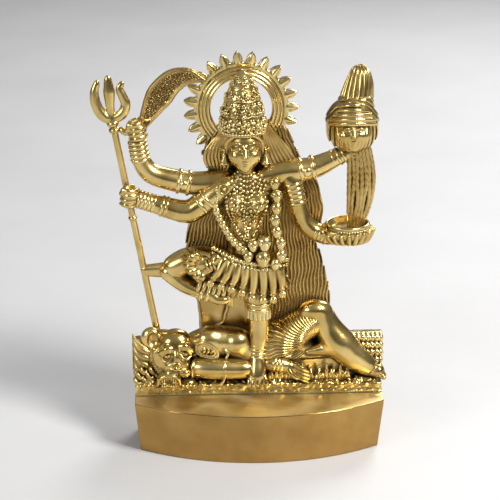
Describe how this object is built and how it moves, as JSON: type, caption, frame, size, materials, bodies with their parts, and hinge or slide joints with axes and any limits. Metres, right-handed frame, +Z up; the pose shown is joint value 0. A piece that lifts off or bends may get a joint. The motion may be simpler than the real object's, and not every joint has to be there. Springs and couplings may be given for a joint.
{
  "type": "brass goddess statue",
  "caption": "Small polished cast-brass relief statue of a four-armed goddess with trident, sword, halo and offering bowl, standing over a reclining figure and a lion on a bowed hollow plinth.",
  "frame": {"origin": "middle of the plinth's underside, on its foot, below the middle of the relief's thickness", "axes": "+Z up, +X towards the viewer's right across the relief, -Y out of its front towards the viewer; the flat back faces +Y"},
  "size_m": [0.1163, 0.04, 0.1598],
  "materials": {
    "plinth_brass": "polished",
    "relief_brass": "polished, dark in the recesses",
    "steel": "zinc plated",
    "felt": "felt"
  },
  "bodies": {
    "root": {"plinth_shell": "plinth_brass", "ground_slab": "relief_brass", "fixing_screws": "steel", "base_pad": "felt", "hair_mantle": "relief_brass", "halo_ring": "relief_brass", "halo_rays": "relief_brass", "lion_mane": "relief_brass", "lion_paw": "relief_brass", "lion_head": "relief_brass", "lion_ear": "relief_brass", "reclining_body": "relief_brass", "tiger_skin": "relief_brass", "ribbed_bolster": "relief_brass", "reclining_arm": "relief_brass", "reclining_hand": "relief_brass", "reclining_leg": "relief_brass", "torso": "relief_brass", "head": "relief_brass", "crown": "relief_brass", "earrings": "relief_brass", "skirt_cloth": "relief_brass", "standing_leg": "relief_brass", "raised_leg": "relief_brass", "skirt_arms": "relief_brass", "anklets": "relief_brass", "trident": "relief_brass", "right_upper_arm": "relief_brass", "right_lower_arm": "relief_brass", "left_upper_arm": "relief_brass", "skull_bowl": "relief_brass", "left_lower_arm": "relief_brass", "sword": "relief_brass", "severed_head": "relief_brass", "severed_hair": "relief_brass", "knee_tie": "relief_brass", "necklaces": "relief_brass", "skull_garland": "relief_brass", "armlets": "relief_brass"}
  },
  "joints": []
}
